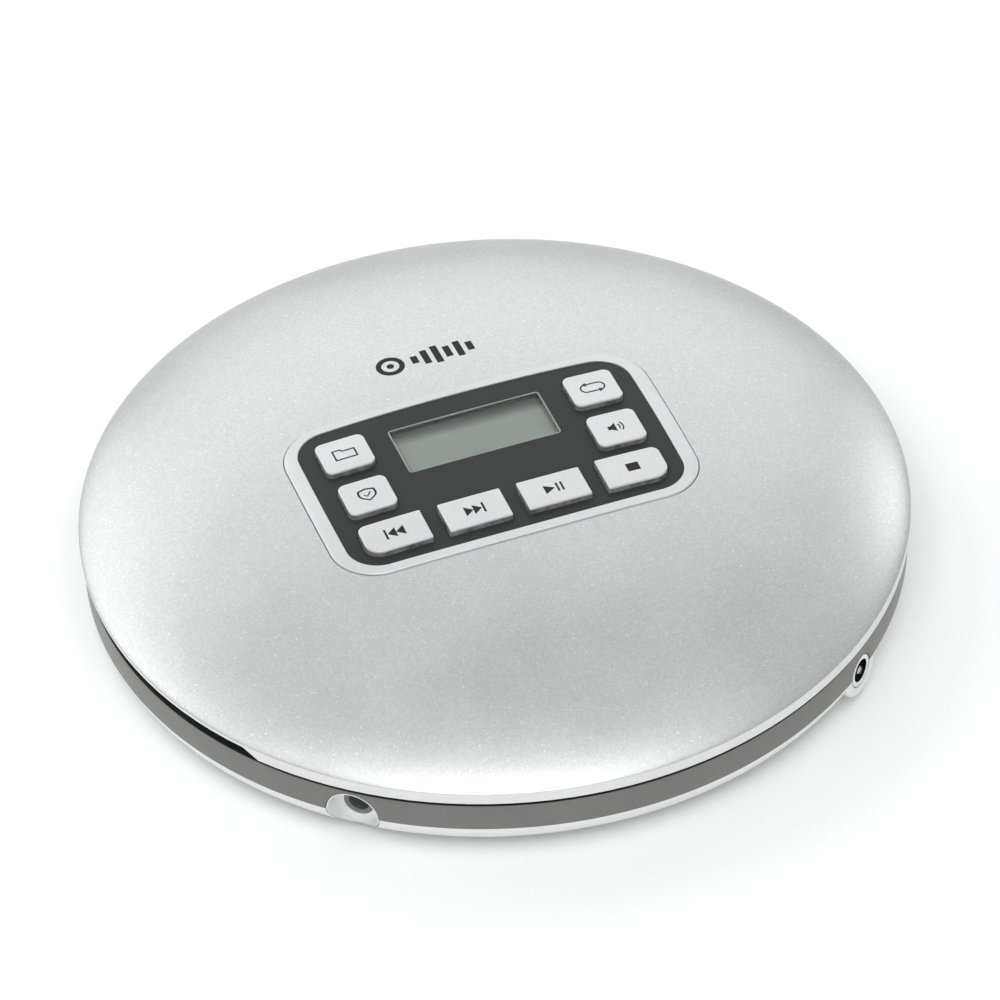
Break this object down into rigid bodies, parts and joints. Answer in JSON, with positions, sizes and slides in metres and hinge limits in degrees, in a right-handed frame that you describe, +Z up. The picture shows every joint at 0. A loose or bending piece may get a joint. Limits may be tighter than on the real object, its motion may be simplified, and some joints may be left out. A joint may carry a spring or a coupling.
{
  "type": "portable cd player",
  "caption": "Slim round portable disc player with a domed lid that opens, a display and keys on the lid, a disc drive inside and side sockets.",
  "frame": {"origin": "centre of the round footprint, on the surface the player stands on", "axes": "+Z up out of the lid, -Y towards the front with the two sockets, +X towards the hinge"},
  "size_m": [0.14, 0.14, 0.0249],
  "materials": {
    "lid_paint": "satin metallic paint with fine flakes",
    "pale_plastic": "satin",
    "band_plastic": "satin",
    "deck_plastic": "fine moulded texture",
    "black_plastic": "matt",
    "panel_plastic": "satin printed panel",
    "key_plastic": "satin silver",
    "bezel_silver": "bright satin silver",
    "window_clear": "clear",
    "lcd_green": "grey-green display",
    "chrome": "polished",
    "steel": "brushed",
    "black_steel": "black zinc plate",
    "brass": "plated",
    "rubber": "matt",
    "silicone": "matt silicone",
    "board_green": "green solder mask",
    "chip_black": "moulded epoxy",
    "battery_wrap": "shrink sleeve",
    "lens_glass": "coated lens",
    "white_plastic": "matt"
  },
  "bodies": {
    "case": {"base_shell": "pale_plastic", "battery_cover": "pale_plastic", "battery_pack": "battery_wrap", "mid_band": "band_plastic", "deck_plate": "deck_plastic", "hinge_pin": "steel", "case_screws": "black_steel", "rubber_feet": "rubber", "volume_control": "black_plastic", "main_board": "board_green", "power_board": "board_green", "board_chips": "chip_black", "headphone_jack": "black_plastic", "headphone_collar": "pale_plastic", "power_jack": "black_plastic", "power_jack_sleeve": "chrome", "power_jack_pin": "chrome", "drive_chassis": "steel", "drive_dampers": "rubber", "spindle_motor": "steel", "guide_rods": "steel", "sled_motor": "steel", "lid_switch": "black_plastic"},
    "lid": {"lid_shell": "lid_paint", "lid_liner": "pale_plastic", "lid_hook": "black_plastic", "lid_screws": "black_steel", "panel_bezel": "bezel_silver", "panel_plate": "panel_plastic", "lcd_window": "window_clear", "lcd_module": "lcd_green", "keypad_board": "board_green", "keypad_membrane": "silicone"},
    "spindle": {"spindle_shaft": "steel", "disc_hub": "black_plastic", "hub_balls": "steel"},
    "lead_screw": {"lead_screw": "brass"},
    "sled": {"pickup_sled": "black_plastic"},
    "lens": {"lens_holder": "black_plastic", "objective_lens": "lens_glass"},
    "plunger": {"lid_switch_plunger": "white_plastic"},
    "volume": {"volume_wheel": "black_plastic"},
    "key_folder": {"key_folder": "key_plastic"},
    "key_antishock": {"key_antishock": "key_plastic"},
    "key_mode": {"key_mode": "key_plastic"},
    "key_sound": {"key_sound": "key_plastic"},
    "key_previous": {"key_previous": "key_plastic"},
    "key_next": {"key_next": "key_plastic"},
    "key_play": {"key_play": "key_plastic"},
    "key_stop": {"key_stop": "key_plastic"}
  },
  "joints": [
    {"name": "lid_hinge", "type": "hinge", "parent": "case", "child": "lid", "pos_m": [0.067, 0, 0.0109], "axis": [0, 1, 0], "range_deg": [0, 80]},
    {"name": "spindle_spin", "type": "hinge", "parent": "case", "child": "spindle", "pos_m": [0, 0, 0.0124], "axis": [0, 0, 1], "continuous": true},
    {"name": "lead_screw_turn", "type": "hinge", "parent": "case", "child": "lead_screw", "pos_m": [0.0152, 0, 0.0068], "axis": [0, 1, 0], "range_deg": [0, 4256]},
    {"name": "sled_slide", "type": "slide", "parent": "case", "child": "sled", "axis": [0, 1, 0], "range_m": [0, 0.0295]},
    {"name": "lens_focus", "type": "slide", "parent": "sled", "child": "lens", "axis": [0, 0, 1], "range_m": [-0.0003, 0.0006], "stiffness_N_per_m": 60},
    {"name": "lid_switch_press", "type": "slide", "parent": "case", "child": "plunger", "axis": [0, 0, 1], "range_m": [0, 0.00061]},
    {"name": "volume_turn", "type": "hinge", "parent": "case", "child": "volume", "pos_m": [0.0315, 0.05456, 0.0082], "axis": [0, 0, 1], "range_deg": [0, 260]},
    {"name": "key_folder_press", "type": "slide", "parent": "lid", "child": "key_folder", "axis": [0, 0, -1], "range_m": [0, 0.0005], "stiffness_N_per_m": 2500},
    {"name": "key_antishock_press", "type": "slide", "parent": "lid", "child": "key_antishock", "axis": [0, 0, -1], "range_m": [0, 0.0005], "stiffness_N_per_m": 2500},
    {"name": "key_mode_press", "type": "slide", "parent": "lid", "child": "key_mode", "axis": [0, 0, -1], "range_m": [0, 0.0005], "stiffness_N_per_m": 2500},
    {"name": "key_sound_press", "type": "slide", "parent": "lid", "child": "key_sound", "axis": [0, 0, -1], "range_m": [0, 0.0005], "stiffness_N_per_m": 2500},
    {"name": "key_previous_press", "type": "slide", "parent": "lid", "child": "key_previous", "axis": [0, 0, -1], "range_m": [0, 0.0005], "stiffness_N_per_m": 2500},
    {"name": "key_next_press", "type": "slide", "parent": "lid", "child": "key_next", "axis": [0, 0, -1], "range_m": [0, 0.0005], "stiffness_N_per_m": 2500},
    {"name": "key_play_press", "type": "slide", "parent": "lid", "child": "key_play", "axis": [0, 0, -1], "range_m": [0, 0.0005], "stiffness_N_per_m": 2500},
    {"name": "key_stop_press", "type": "slide", "parent": "lid", "child": "key_stop", "axis": [0, 0, -1], "range_m": [0, 0.0005], "stiffness_N_per_m": 2500}
  ],
  "couplings": [
    {"joint": "lead_screw_turn", "follows": "sled_slide", "rad_per_m": 2513.3},
    {"joint": "lid_switch_press", "follows": "lid_hinge", "m_per_rad": 0.00042972}
  ]
}
